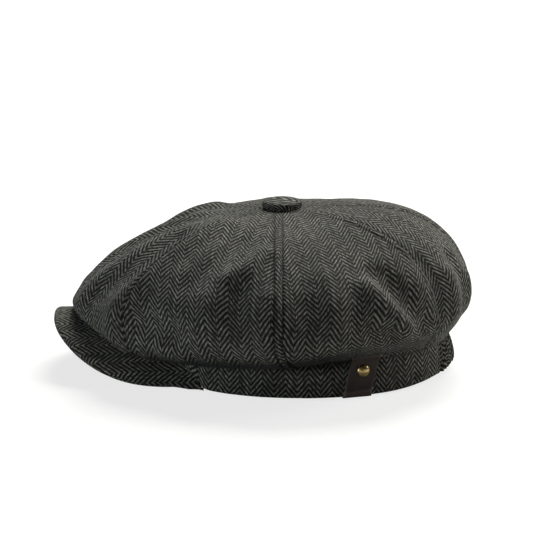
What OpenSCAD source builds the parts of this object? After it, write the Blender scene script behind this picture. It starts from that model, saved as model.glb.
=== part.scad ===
// Eight-panel newsboy cap. Millimetres, +Z up, origin at the centre of the head
// opening in the plane of the rim. -Y is the front (the peak), +X is the wearer's
// left, the side that carries the leather tab.
// Angles round the cap run from 0 at the front over 90 at the wearer's left to 180
// at the back.

/* [Head opening] */
// Half width of the outer band
rim_half_w = 86; // [78:0.5:94]
// Half length of the outer band
rim_half_l = 102; // [94:0.5:110]
// Height of the band
band_h = 24; // [18:1:30]
// Thickness of the tweed band, seam allowances included
band_t = 1.4; // [1:0.1:2]
// Thickness of the stiff interlining behind the band
stiffener_t = 0.7; // [0.5:0.1:1]
// Thickness of the cotton sweatband
sweatband_t = 1; // [0.6:0.1:1.2]

/* [Crown] */
// How far the middle of the crown lies in front of the opening's centre
crown_shift = 12; // [4:1:20]
// Reach of the crown forward from its middle
crown_front = 140; // [132:1:144]
// Reach of the crown backward from its middle
crown_back = 125; // [120:1:132]
// Half width of the crown at its fullest
crown_half_w = 124; // [116:1:130]
// Height of the crown's middle above the rim
crown_top = 108; // [104:1:114]
// Thickness of the tweed panels
tweed_t = 1.3; // [0.8:0.1:1.6]
// Thickness of the satin lining
lining_t = 0.5; // [0.4:0.1:0.7]

/* [Peak] */
// Half width of the peak
peak_half_w = 64; // [60:0.5:66]
// Length of the peak in front of the opening's centre
peak_reach = 165; // [155:1:170]
// Height of the arch at the middle of the peak's root
peak_rise = 36.5; // [36:0.5:40]
// Radius of the arch
peak_arch_r = 79; // [77:0.5:80]
// Downward slope of the peak, degrees
peak_droop = 1.3; // [0.8:0.1:1.5]
// Thickness of the stiff board in the peak
board_t = 1.6; // [1.2:0.1:2]
// Thickness of each tweed cover of the peak
cover_t = 1.1; // [0.8:0.1:1.3]

/* [Rear gather] */
// Half the angle that the gathered rear takes up
gather_half_angle = 26; // [22:1:30]
// Number of small folds across the gather
gather_folds = 13; // [9:1:17]
// Depth of each fold
fold_depth = 0.7; // [0.3:0.1:0.9]

/* [Button] */
// Diameter of the covered button
button_d = 26; // [20:1:30]
// Height of the covered button
button_h = 5.5; // [5:0.5:8]
// Diameter of the button's shank
shank_d = 4; // [3:0.5:5]

/* [Leather tab] */
// Angle round the cap at the middle of the tab
tab_angle = 113; // [106:1:122]
// Width of the tab
tab_w = 20; // [16:1:24]
// Thickness of the leather
tab_t = 1.6; // [1.2:0.1:2]
// Height of the rivet above the rim
rivet_z = 18; // [14:0.5:20]
// Diameter of the rivet's dome
rivet_d = 8.8; // [7:0.1:10]
// Diameter of the rivet's post
rivet_post_d = 3; // [2:0.5:3]

/* [Hidden] */

tweed = [0.27, 0.27, 0.25];
satin = [0.05, 0.05, 0.06];
cotton = [0.09, 0.09, 0.10];
buckram = [0.80, 0.78, 0.72];
leather = [0.17, 0.11, 0.08];
brass = [0.55, 0.45, 0.24];
steel = [0.62, 0.62, 0.64];

layer_gap = 0.1;
seam_gap_deg = 0.12;
full_turn = 360;
step_deg = 3;
// Seams of one half of the crown, from the front to the back
seams = [0, 38, 90, 146, 180];

stiffener_inset = band_t + layer_gap;
// The space behind the stiffener takes the seam allowances and the rivet's washer
sweatband_inset = stiffener_inset + stiffener_t + 0.9;

peak_axis_z = peak_rise - peak_arch_r;
peak_root_y = -66;
peak_root_gap = 0.7;
peak_edge_wrap = 1.4;

// Rounding of the place where the rim leaves the ground and follows the peak's arch
rim_blend = 3;
// Farthest from the middle that the peak's arch is followed, and a value that keeps the rear rim level
arch_limit = 75;
rear_q = 40;
// Roundness at the side and the back, how much straighter the front is, and the puff behind the button
side_round = 1.9;
back_round = 3.4;
front_slope = 0.6;
back_puff = 5;
widest_t = 0.62;
hole_t = 0.022;
// Makes r squared times (1 - r) reach 1 at its highest
puff_peak = 6.75;

// ---- The crown's shape ----

// Smooth value at angle th from values given at even steps from 0 to 180 degrees
function folded(th) = let (a = (th % full_turn + full_turn) % full_turn) a > 180 ? full_turn - a : a;
function around(v, th) =
    let (
        last = len(v) - 1,
        k = min(folded(th) * last / 180, last - 0.0001),
        i = floor(k),
        f = k - i,
        p0 = i == 0 ? v[1] : v[i - 1],
        p1 = v[i],
        p2 = v[i + 1],
        p3 = i == last - 1 ? v[i] : v[i + 2]
    )
    p1 + 0.5 * f * (p2 - p0 + f * (2 * p0 - 5 * p1 + 4 * p2 - p3 + f * (3 * (p1 - p2) + p3 - p0)));

// Lower edge of the band: level at the back and sides, arched over the peak
function arch_z(x) = peak_axis_z + sqrt(peak_arch_r ^ 2 - min(abs(x), arch_limit) ^ 2);
function rim_z(th, inset) =
    let (q = cos(th) > 0 ? arch_z((rim_half_w - inset) * sin(th)) : -rear_q)
    (q + sqrt(q ^ 2 + rim_blend ^ 2)) / 2;

function outward(th) = [sin(th), -cos(th), 0];
function rim_point(th, inset, z) =
    [(rim_half_w - inset) * sin(th), -(rim_half_l - inset) * cos(th), z];

// Widest line of the crown, a little pointed at the front
function widest(th, inset) =
    let (front = max(cos(th), 0))
    [
        (crown_half_w - inset) * sin(th) * (1 - 0.2 * front ^ 2),
        cos(th) > 0 ? -crown_shift - (crown_front - inset) * front ^ 1.3
                    : -crown_shift + (crown_back - inset) * abs(cos(th)),
        around([44, 50, 50, 53, 55], th)
    ];

// How far an angle lies towards the front or the back, from 0 at the side to 1
function frontness(th) = max(cos(th), 0);
function backness(th) = max(-cos(th), 0);

// The dome slopes away evenly in front and stays full and flat on top at the back
function round_across(th) = side_round + (back_round - side_round) * backness(th) ^ 4;
function round_up(th) = side_round - front_slope * frontness(th) ^ 4;
function puff(th) = back_puff * backness(th) ^ 4;

// From the button (s = 0) down to the widest line (s = 1)
function dome_point(th, s, inset) =
    let (
        r = sin(90 * s),
        h = (1 - min(r, 1) ^ round_across(th)) ^ (1 / round_up(th)),
        w = widest(th, inset)
    )
    [
        w[0] * r,
        -crown_shift + (w[1] + crown_shift) * r,
        w[2] + (crown_top - inset - w[2]) * h + puff(th) * puff_peak * r ^ 2 * (1 - r)
    ];

function bezier(a, b, c, d, u) =
    (1 - u) ^ 3 * a + 3 * (1 - u) ^ 2 * u * b + 3 * (1 - u) * u ^ 2 * c + u ^ 3 * d;

// The front fold lies on the peak, with a little room below it
peak_top_r = peak_arch_r + board_t / 2 + layer_gap + cover_t;
fold_room = 0.6;
function peak_top_z(x, y) =
    peak_axis_z + sqrt(peak_top_r ^ 2 - min(abs(x), arch_limit) ^ 2) + (y - peak_root_y) * tan(peak_droop);
function rest_on_peak(p) =
    p[1] > peak_root_y ? p : [p[0], p[1], max(p[2], peak_top_z(p[0], p[1]) + fold_room)];

// Height above the rim of the crown's underside, at under_share of its curve
under_share = 0.6;
function under_z(th) = around([39, 29, 22, 24, 27, 33, 34, 34, 35], th);

// How far below the seam the curve's inner handle lies, so that the curve passes through low
function handle_sag(widest_z, seam_z, drop, low) =
    let (
        q = under_share,
        others = (1 - q) ^ 3 * widest_z + 3 * (1 - q) ^ 2 * q * (widest_z - drop) + q ^ 3 * seam_z
    )
    seam_z - (low - others) / (3 * (1 - q) * q ^ 2);

// From the widest line (u = 0) round the overhanging fold to the band's seam (u = 1)
function fold_point(th, u) =
    let (
        w = widest(th, 0),
        seam = rim_point(th, 0, rim_z(th, 0) + band_h + 0.4),
        drop = around([10, 24, 29, 23, 19, 14, 14, 14, 12], th),
        reach = around([28, 24, 13, 11, 11, 3, 3.5, 4, 4], th),
        sag = handle_sag(w[2], seam[2], drop, under_z(th))
    )
    rest_on_peak(
        bezier(w, w + 1.5 * outward(th) - [0, 0, drop], seam + reach * outward(th) - [0, 0, sag], seam, u)
    );

// The lining runs straight from its own widest line to the top of the sweatband
function lining_side_point(th, u, inset) =
    let (
        w = widest(th, inset),
        edge_inset = sweatband_inset + sweatband_t / 2,
        edge = rim_point(th, edge_inset, rim_z(th, sweatband_inset + sweatband_t) + band_h + 1.2)
    )
    bezier(w, w - [0, 0, 8], edge + [0, 0, 8], edge, u);

lining_inset = 5;
function crown_point(th, t, is_lining) =
    t <= widest_t ? dome_point(th, t / widest_t, is_lining ? lining_inset : 0)
    : let (u = (t - widest_t) / (1 - widest_t))
      is_lining ? lining_side_point(th, u, lining_inset) : fold_point(th, u);

function unit(v) = v / norm(v);
function crown_normal(th, t, is_lining) =
    let (
        lo = max(t - 0.004, hole_t / 2),
        hi = min(t + 0.004, 1),
        along = crown_point(th, hi, is_lining) - crown_point(th, lo, is_lining),
        across = crown_point(th + 0.5, t, is_lining) - crown_point(th - 0.5, t, is_lining)
    )
    unit(cross(along, across));

// One panel between two seams, as a closed sheet with an outer and an inner face
module crown_sheet(from, to, thickness, is_lining) {
    columns = 8;
    rows = 22;
    a = from + seam_gap_deg;
    b = to - seam_gap_deg;
    across = [for (i = [0:columns]) a + (b - a) * i / columns];
    down = [for (j = [0:rows]) hole_t + (1 - hole_t) * j / rows];
    face_points = (columns + 1) * (rows + 1);
    points = [
        for (depth = [0, thickness], th = across, t = down)
            crown_point(th, t, is_lining) - depth * crown_normal(th, t, is_lining)
    ];
    function at(face, i, j) = face * face_points + i * (rows + 1) + j;
    function strip(p, q, r, s) = [[p, q, r], [p, r, s]];
    faces = [
        for (i = [0:columns - 1], j = [0:rows - 1], f = concat(
            strip(at(0, i, j), at(0, i + 1, j), at(0, i + 1, j + 1), at(0, i, j + 1)),
            strip(at(1, i, j), at(1, i, j + 1), at(1, i + 1, j + 1), at(1, i + 1, j))
        )) f,
        for (j = [0:rows - 1], f = concat(
            strip(at(0, 0, j), at(0, 0, j + 1), at(1, 0, j + 1), at(1, 0, j)),
            strip(at(0, columns, j), at(1, columns, j), at(1, columns, j + 1), at(0, columns, j + 1))
        )) f,
        for (i = [0:columns - 1], f = concat(
            strip(at(0, i, 0), at(1, i, 0), at(1, i + 1, 0), at(0, i + 1, 0)),
            strip(at(0, i, rows), at(0, i + 1, rows), at(1, i + 1, rows), at(1, i, rows))
        )) f
    ];
    polyhedron(points = points, faces = faces, convexity = 6);
}

// Panel number 0 to 3 from the front to the back, on the left or mirrored to the right
module crown_panel(number, is_right) {
    color(tweed)
        if (is_right) crown_sheet(-seams[number + 1], -seams[number], tweed_t, false);
        else crown_sheet(seams[number], seams[number + 1], tweed_t, false);
}

module lining_panel(number, is_right) {
    color(satin)
        if (is_right) crown_sheet(-seams[number + 1], -seams[number], lining_t, true);
        else crown_sheet(seams[number], seams[number + 1], lining_t, true);
}

// ---- The band ----

// Plan of a strip that follows the oval, from one angle to another
module oval_strip(inset, t, from, to, ripple = 0, folds = 1) {
    count = ceil((to - from) / (ripple > 0 ? 1 : step_deg));
    angles = [for (i = [0:count]) from + (to - from) * i / count];
    function wave(th) = ripple * (1 - cos(full_turn * folds * (th - from) / (to - from))) / 2;
    polygon(concat(
        [for (th = angles) let (p = rim_point(th, inset - wave(th), 0)) [p[0], p[1]]],
        [for (i = [count:-1:0]) let (p = rim_point(angles[i], inset + t, 0)) [p[0], p[1]]]
    ));
}

module arch_cylinder(lift) {
    translate([0, -60, peak_axis_z + lift])
        rotate([90, 0, 0])
            cylinder(r = peak_arch_r, h = 60, $fn = 128);
}

// A strip of the band that is level at the sides and arches over the peak in front
module band_strip(inset, t, from, to) {
    difference() {
        union() {
            linear_extrude(band_h) oval_strip(inset, t, from, to);
            intersection() {
                linear_extrude(peak_rise + band_h + 1) oval_strip(inset, t, from, to);
                arch_cylinder(band_h);
            }
        }
        arch_cylinder(0);
    }
}

band_end = 180 - gather_half_angle - 0.3;

// Turns a shape made along +Z so that it points out of the band at the rivet
tab_normal_angle = atan2(-cos(tab_angle) / rim_half_l, sin(tab_angle) / rim_half_w);
module at_rivet() {
    translate(rim_point(tab_angle, 0, rivet_z))
        rotate([0, 0, tab_normal_angle])
            rotate([0, 90, 0])
                children();
}

module rivet_bore() {
    at_rivet() translate([0, 0, -6]) cylinder(d = rivet_post_d + 0.2, h = 12, $fn = 32);
}

module outer_band() {
    color(tweed)
        difference() {
            band_strip(0, band_t, -band_end, band_end);
            rivet_bore();
        }
}

module band_stiffener() {
    color(buckram)
        difference() {
            band_strip(stiffener_inset, stiffener_t, -band_end, band_end);
            rivet_bore();
        }
}

module sweatband() {
    color(cotton) band_strip(sweatband_inset, sweatband_t, -band_end, band_end);
}

rear_from = 180 - gather_half_angle + 0.3;
rear_to = 180 + gather_half_angle - 0.3;

module rear_gather() {
    color(tweed)
        linear_extrude(band_h)
            oval_strip(0, band_t, rear_from, rear_to, fold_depth, gather_folds);
}

module elastic_tape() {
    tape_h = band_h - 4;
    color(buckram)
        translate([0, 0, (band_h - tape_h) / 2])
            linear_extrude(tape_h) oval_strip(stiffener_inset, stiffener_t, rear_from, rear_to);
}

module rear_sweatband() {
    color(cotton)
        linear_extrude(band_h) oval_strip(sweatband_inset, sweatband_t, rear_from, rear_to);
}

// A blank folded tag sewn to the inside of the rear sweatband
module size_label() {
    label_half_angle = 4.5;
    color("white")
        translate([0, 0, 6])
            linear_extrude(13)
                oval_strip(sweatband_inset + sweatband_t + layer_gap, 0.4,
                    180 - label_half_angle, 180 + label_half_angle);
}

// ---- The peak ----

// Plan of the peak: the oval of the band behind, a rounded U in front
module peak_plan(margin) {
    half_w = peak_half_w - margin;
    gap = peak_root_gap + margin / 2;
    root_angle = asin(half_w / (rim_half_w + gap));
    corner_y = -(rim_half_l + gap) * cos(root_angle);
    reach = peak_reach - margin + corner_y;
    polygon(concat(
        [for (i = [-15:15]) let (p = rim_point(root_angle * i / 15, -gap, 0)) [p[0], p[1]]],
        [for (i = [23:-1:-23])
            let (a = i * 90 / 24)
            [half_w * sign(a) * abs(sin(a)) ^ 0.82, corner_y - reach * cos(a) ^ 0.62]]
    ));
}

// A curved layer of the peak between two radii of its arch
module peak_layer(inner, outer, margin) {
    intersection() {
        translate([0, 0, -4]) linear_extrude(peak_rise + 10) peak_plan(margin);
        translate([0, peak_root_y, peak_axis_z])
            rotate([90 + peak_droop, 0, 0])
                difference() {
                    cylinder(r = outer, h = peak_reach, $fn = 128);
                    translate([0, 0, -1]) cylinder(r = inner, h = peak_reach + 2, $fn = 128);
                }
    }
}

board_outer = peak_arch_r + board_t / 2;
board_inner = peak_arch_r - board_t / 2;

module peak_board() {
    color(buckram) peak_layer(board_inner, board_outer, peak_edge_wrap);
}

module peak_top_cover() {
    color(tweed) peak_layer(board_outer + layer_gap, board_outer + layer_gap + cover_t, 0);
}

module peak_under_cover() {
    color(tweed) peak_layer(board_inner - layer_gap - cover_t, board_inner - layer_gap, 0);
}

// ---- The button ----

button_seat = crown_top + 0.8;
shell_t = 0.6;
button_cover_t = 1;

module at_button() {
    translate([0, -crown_shift, button_seat]) children();
}

// A round cap, open below: height h, diameter d, wall t, domed on top
module round_cap(d, h, t) {
    edge = h * 0.55;
    arc = [for (a = [0:10:90]) [d / 2 * cos(a) ^ 0.8, edge + (h - edge) * sin(a)]];
    inner = [for (a = [90:-10:0]) [(d / 2 - t) * cos(a) ^ 0.8, edge + (h - t - edge) * sin(a)]];
    rotate_extrude($fn = 64) polygon(concat([[d / 2 - t, 0], [d / 2, 0]], arc, inner));
}

module button_cover() {
    color(tweed) at_button() round_cap(button_d, button_h, button_cover_t);
}

module button_shell() {
    color(steel)
        at_button()
            translate([0, 0, 0.2])
                round_cap(button_d - 2 * button_cover_t - 0.2, button_h - button_cover_t - 0.4, shell_t);
}

// The shank hangs from the shell through the crown and the lining
backplate_z = -lining_inset - 4;
shank_top = button_h - button_cover_t - shell_t - 0.4;
module button_shank() {
    color(steel)
        at_button()
            translate([0, 0, backplate_z + 0.9])
                cylinder(d = shank_d, h = shank_top - backplate_z - 0.9, $fn = 32);
}

module button_backplate() {
    color(steel)
        at_button()
            translate([0, 0, backplate_z])
                cylinder(d = 12, h = 0.8, $fn = 48);
}

// ---- The leather tab and its rivet ----

tab_foot = 0.3;
// Millimetres of rim for one degree at the tab
rim_mm_per_deg =
    norm([rim_half_w * cos(tab_angle), rim_half_l * sin(tab_angle)]) * PI / 180;

module leather_tab() {
    half_angle = tab_w / 2 / rim_mm_per_deg;
    color(leather)
        difference() {
            translate([0, 0, tab_foot])
                linear_extrude(band_h - 2 * tab_foot)
                    oval_strip(-layer_gap - tab_t, tab_t, tab_angle - half_angle, tab_angle + half_angle);
            rivet_bore();
        }
}

rivet_base = layer_gap + tab_t + 0.1;
washer_seat = -stiffener_inset - stiffener_t - 0.2;
washer_t = 0.4;

module rivet_cap() {
    dome_h = 2.4;
    color(brass)
        at_rivet()
            translate([0, 0, rivet_base])
                rotate_extrude($fn = 48)
                    polygon(concat(
                        [[0, 0], [rivet_d / 2 - 0.4, 0]],
                        [for (a = [0:10:90]) [rivet_d / 2 * cos(a) ^ 0.7, 0.5 + (dome_h - 0.5) * sin(a)]]
                    ));
}

module rivet_post() {
    color(brass)
        at_rivet()
            translate([0, 0, washer_seat - washer_t])
                cylinder(d = rivet_post_d, h = rivet_base - washer_seat + washer_t - 0.05, $fn = 32);
}

module rivet_washer() {
    color(brass)
        at_rivet()
            translate([0, 0, washer_seat - washer_t])
                difference() {
                    cylinder(d = 7, h = washer_t, $fn = 48);
                    translate([0, 0, -1]) cylinder(d = rivet_post_d + 0.2, h = 3, $fn = 32);
                }
}

crown_panel(0, false);  // crown_panel_front_left
crown_panel(1, false);  // crown_panel_side_front_left
crown_panel(2, false);  // crown_panel_side_rear_left
crown_panel(3, false);  // crown_panel_rear_left
crown_panel(0, true);  // crown_panel_front_right
crown_panel(1, true);  // crown_panel_side_front_right
crown_panel(2, true);  // crown_panel_side_rear_right
crown_panel(3, true);  // crown_panel_rear_right
lining_panel(0, false);  // lining_panel_front_left
lining_panel(1, false);  // lining_panel_side_front_left
lining_panel(2, false);  // lining_panel_side_rear_left
lining_panel(3, false);  // lining_panel_rear_left
lining_panel(0, true);  // lining_panel_front_right
lining_panel(1, true);  // lining_panel_side_front_right
lining_panel(2, true);  // lining_panel_side_rear_right
lining_panel(3, true);  // lining_panel_rear_right
outer_band();
band_stiffener();
sweatband();
rear_gather();
elastic_tape();
rear_sweatband();
peak_board();
peak_top_cover();
peak_under_cover();
button_cover();
button_shell();
button_shank();
button_backplate();
leather_tab();
rivet_cap();
rivet_post();
rivet_washer();
size_label();
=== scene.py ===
# Newsboy cap: tweed crown, peak, band and button with their real thickness, seams and folds.
# Shapes are worked out in millimetres in the frame's own axes (-Y is the peak, +X the side
# with the leather tab) and become metres when a mesh is made.
# Angles round the cap run from 0 at the front over 90 at the wearer's left to 180 at the back.
import math
import bpy
import numpy as np
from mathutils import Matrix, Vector


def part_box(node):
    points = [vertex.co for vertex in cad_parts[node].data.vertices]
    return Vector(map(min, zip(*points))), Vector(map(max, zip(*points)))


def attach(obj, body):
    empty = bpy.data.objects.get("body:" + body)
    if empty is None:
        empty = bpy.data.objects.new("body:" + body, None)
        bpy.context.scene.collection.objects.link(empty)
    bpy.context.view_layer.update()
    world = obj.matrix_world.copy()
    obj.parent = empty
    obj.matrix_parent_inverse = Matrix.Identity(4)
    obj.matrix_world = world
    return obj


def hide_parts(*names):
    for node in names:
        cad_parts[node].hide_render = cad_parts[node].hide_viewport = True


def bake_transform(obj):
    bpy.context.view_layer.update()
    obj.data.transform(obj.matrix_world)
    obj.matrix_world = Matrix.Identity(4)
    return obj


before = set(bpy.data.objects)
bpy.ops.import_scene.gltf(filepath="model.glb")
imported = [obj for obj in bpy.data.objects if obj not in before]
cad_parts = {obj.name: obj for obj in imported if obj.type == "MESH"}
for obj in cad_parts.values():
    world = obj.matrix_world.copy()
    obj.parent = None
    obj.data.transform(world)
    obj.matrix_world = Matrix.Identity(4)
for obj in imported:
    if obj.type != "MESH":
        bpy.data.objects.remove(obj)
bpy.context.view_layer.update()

MM = 0.001


def box_mm(node):
    low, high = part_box(node)
    return np.array(low) / MM, np.array(high) / MM


# ---- Driving sizes, read from the frame ----
band_low, band_high = box_mm("outer_band")
RIM_W = band_high[0]
RIM_L = -band_low[1]
BAND_H = box_mm("rear_gather")[1][2]
BAND_TOP_FRONT = band_high[2]
PEAK_RISE = BAND_TOP_FRONT - BAND_H
peak_low, peak_high = box_mm("peak_top_cover")
PEAK_HALF_W = peak_high[0]
PEAK_TIP = -peak_low[1]
PEAK_ARCH_R = 79.0
PEAK_DROOP = math.tan(math.radians(1.3))
PEAK_ROOT_Y = -66.0
button_low, button_high = box_mm("button_cover")
CROWN_SHIFT = -(button_low[1] + button_high[1]) / 2
BUTTON_R = (button_high[0] - button_low[0]) / 2
BUTTON_H = button_high[2] - button_low[2]
CROWN_TOP = button_low[2] - 0.8
CROWN_FRONT = -box_mm("crown_panel_front_left")[0][1] - CROWN_SHIFT
CROWN_BACK = box_mm("crown_panel_rear_left")[1][1] + CROWN_SHIFT
CROWN_HALF_W = box_mm("crown_panel_side_rear_left")[1][0]
TWEED_T = 1.3
WIDEST_T = 0.62
HOLE_T = 0.022
SEAMS = [0, 38, 90, 146, 180]
# Roundness of the dome at the side and the back, how much straighter the front is,
# and the puff behind the button
SIDE_ROUND = 1.9
BACK_ROUND = 3.4
FRONT_SLOPE = 0.6
BACK_PUFF = 5.0
# Makes r squared times (1 - r) reach 1 at its highest
PUFF_PEAK = 6.75


# ---- Small maths ----
def ease(x):
    x = np.clip(x, 0, 1)
    return x * x * (3 - 2 * x)


def hill(x, centre, width):
    return np.exp(-(((x - centre) / width) ** 2))


def sind(a):
    return np.sin(np.radians(a))


def cosd(a):
    return np.cos(np.radians(a))


def unit(v):
    return v / np.maximum(np.linalg.norm(v, axis=-1, keepdims=True), 1e-9)


def soft_noise(points, size, seed):
    """Smooth noise from -1 to 1 that changes over about size millimetres."""
    side = 32
    lattice = np.random.RandomState(seed).uniform(-1, 1, (side, side, side))
    q = np.asarray(points, float) / size + 1000.0
    i = np.floor(q).astype(int)
    f = ease(q - i)
    total = 0
    for dx in (0, 1):
        for dy in (0, 1):
            for dz in (0, 1):
                weight = (
                    (f[..., 0] if dx else 1 - f[..., 0])
                    * (f[..., 1] if dy else 1 - f[..., 1])
                    * (f[..., 2] if dz else 1 - f[..., 2])
                )
                total = total + weight * lattice[
                    (i[..., 0] + dx) % side, (i[..., 1] + dy) % side, (i[..., 2] + dz) % side
                ]
    return total


# ---- The crown's plain shape, the same rule as the CAD panels ----
def folded(theta):
    return np.abs((theta + 180) % 360 - 180)


def around(values, theta):
    """Smooth value at an angle, from values at even steps between front (0) and back (180)."""
    v = np.asarray(values, float)
    last = len(v) - 1
    k = np.minimum(folded(theta) * last / 180, last - 1e-6)
    i = np.floor(k).astype(int)
    f = k - i
    ends = np.concatenate([[v[1]], v, [v[-2]]])
    p0, p1, p2, p3 = ends[i], ends[i + 1], ends[i + 2], ends[i + 3]
    return p1 + 0.5 * f * (p2 - p0 + f * (2 * p0 - 5 * p1 + 4 * p2 - p3 + f * (3 * (p1 - p2) + p3 - p0)))


def arch_z(x):
    return PEAK_RISE - PEAK_ARCH_R + np.sqrt(PEAK_ARCH_R**2 - np.minimum(np.abs(x), 75) ** 2)


RIM_BLEND = 3.0


def rim_z(theta, inset=0):
    """Lower edge of the band: level, but arched over the peak in front."""
    q = np.where(cosd(theta) > 0, arch_z((RIM_W - inset) * sind(theta)), -40.0)
    return (q + np.sqrt(q * q + RIM_BLEND**2)) / 2


def outward(theta):
    return np.stack([sind(theta), -cosd(theta), 0 * theta], -1)


def rim_point(theta, inset, z):
    theta, z = np.broadcast_arrays(np.asarray(theta, float), np.asarray(z, float))
    return np.stack([(RIM_W - inset) * sind(theta), -(RIM_L - inset) * cosd(theta), z], -1)


# The elastic draws the top of the band in at the back, and lifts its lower edge
REAR_PULL = 3.5
REAR_SINK = 2.4
REAR_LIFT = 4.2


def rear_pull(theta):
    return ease((folded(theta) - 148) / 27)


def rear_lift(theta):
    return REAR_LIFT * ease((folded(theta) - 122) / 50)


PEAK_HALF_T = 2.0
FOLD_ROOM = 1.0


def peak_height(x, y, lift):
    """Height of the arched, sloping peak, lift millimetres above its middle."""
    radius = PEAK_ARCH_R + lift
    slope = (y - PEAK_ROOT_Y) * PEAK_DROOP
    q = PEAK_RISE - PEAK_ARCH_R + np.sqrt(radius**2 - np.minimum(np.abs(x), 75) ** 2)
    return (q + np.sqrt(q * q + RIM_BLEND**2)) / 2 + slope


def widest(theta, inset):
    s, c = sind(theta), cosd(theta)
    front = np.maximum(c, 0)
    x = (CROWN_HALF_W - inset) * s * (1 - 0.2 * front**2)
    y = np.where(
        c > 0,
        -CROWN_SHIFT - (CROWN_FRONT - inset) * front**1.3,
        -CROWN_SHIFT + (CROWN_BACK - inset) * np.abs(c),
    )
    return np.stack([x, y, around([44, 50, 50, 53, 55], theta)], -1)


def bezier(a, b, c, d, u):
    return (1 - u) ** 3 * a + 3 * (1 - u) ** 2 * u * b + 3 * (1 - u) * u * u * c + u**3 * d


UP = np.array([0, 0, 1.0])
UNDER_SHARE = 0.6


def handle_sag(theta, widest_z, drop):
    """How far below the seam the underside's inner handle lies, so that the curve meets low."""
    q = UNDER_SHARE
    low = around([39, 29, 22, 24, 27, 33, 34, 34, 35], theta)
    seam_z = rim_z(theta) + BAND_H + 0.4
    others = (1 - q) ** 3 * widest_z + 3 * (1 - q) ** 2 * q * (widest_z - drop) + q**3 * seam_z
    return seam_z - (low - others) / (3 * (1 - q) * q * q)


def crown_plain(theta, t, lining=False):
    """A point of the crown: t runs from the button (0) over the widest line to the band (1)."""
    theta, t = np.broadcast_arrays(np.asarray(theta, float), np.asarray(t, float))
    inset = 4.0 if lining else 0.0
    w = widest(theta, inset)
    r = sind(90 * np.clip(t / WIDEST_T, 0, 1))
    front = np.maximum(cosd(theta), 0)
    back = np.maximum(-cosd(theta), 0)
    across = SIDE_ROUND + (BACK_ROUND - SIDE_ROUND) * back**4
    rise = SIDE_ROUND - FRONT_SLOPE * front**4
    h = np.maximum(1 - np.minimum(r, 1) ** across, 0) ** (1 / rise)
    puff = BACK_PUFF * back**4 * PUFF_PEAK * r * r * (1 - r)
    dome = np.stack(
        [
            w[..., 0] * r,
            -CROWN_SHIFT + (w[..., 1] + CROWN_SHIFT) * r,
            w[..., 2] + (CROWN_TOP - inset - w[..., 2]) * h + puff,
        ],
        -1,
    )
    u = np.clip((t - WIDEST_T) / (1 - WIDEST_T), 0, 1)[..., None]
    out = outward(theta)
    pull = rear_pull(theta)
    if lining:
        edge = rim_point(theta, 3.8 + pull * REAR_PULL, rim_z(theta, 4.1) + BAND_H + 1 - pull * REAR_SINK)
        low = bezier(w, w - 8 * UP, edge + 8 * UP, edge, u)
    else:
        edge = rim_point(theta, pull * REAR_PULL, rim_z(theta) + BAND_H + 0.4 - pull * REAR_SINK)
        drop = around([10, 24, 29, 23, 19, 14, 14, 14, 12], theta)
        reach = around([28, 24, 13, 11, 11, 3, 3.5, 4, 4], theta)[..., None] * out
        sag = handle_sag(theta, w[..., 2], drop)[..., None] * UP
        low = bezier(w, w + 1.5 * out - drop[..., None] * UP, edge + reach - sag, edge, u)
        on_peak = peak_height(low[..., 0], low[..., 1], PEAK_HALF_T) + FOLD_ROOM
        low[..., 2] = np.where(low[..., 1] < PEAK_ROOT_Y, np.maximum(low[..., 2], on_peak), low[..., 2])
    return np.where((t <= WIDEST_T)[..., None], dome, low)


def crown_normal(theta, t, lining=False):
    lo = np.maximum(t - 0.004, HOLE_T / 2)
    hi = np.minimum(t + 0.004, 1)
    along = crown_plain(theta, hi, lining) - crown_plain(theta, lo, lining)
    sideways = crown_plain(theta + 0.5, t, lining) - crown_plain(theta - 0.5, t, lining)
    return unit(np.cross(along, sideways))


# ---- Making meshes ----
def link_mesh(name, points, faces, weave=None, material=None, sharp_deg=55):
    """A mesh from points in millimetres. weave holds each point's place on its flat cloth, in mm."""
    mesh = bpy.data.meshes.new(name)
    mesh.from_pydata((np.asarray(points) * MM).tolist(), [], faces)
    if weave is not None:
        layer = mesh.attributes.new("weave", "FLOAT_VECTOR", "POINT")
        layer.data.foreach_set("vector", np.asarray(weave, np.float32).ravel())
    mesh.validate()
    mesh.polygons.foreach_set("use_smooth", [True] * len(mesh.polygons))
    mesh.set_sharp_from_angle(angle=math.radians(sharp_deg))
    obj = bpy.data.objects.new(name, mesh)
    bpy.context.scene.collection.objects.link(obj)
    if material:
        mesh.materials.append(material)
    return obj


def grid_faces(rows, columns, offset=0, wrap=False, flip=False):
    faces = []
    for j in range(rows - 1):
        for i in range(columns - (0 if wrap else 1)):
            k = (i + 1) % columns
            quad = [
                offset + j * columns + i,
                offset + (j + 1) * columns + i,
                offset + (j + 1) * columns + k,
                offset + j * columns + k,
            ]
            faces.append(quad[::-1] if flip else quad)
    return faces


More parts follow.
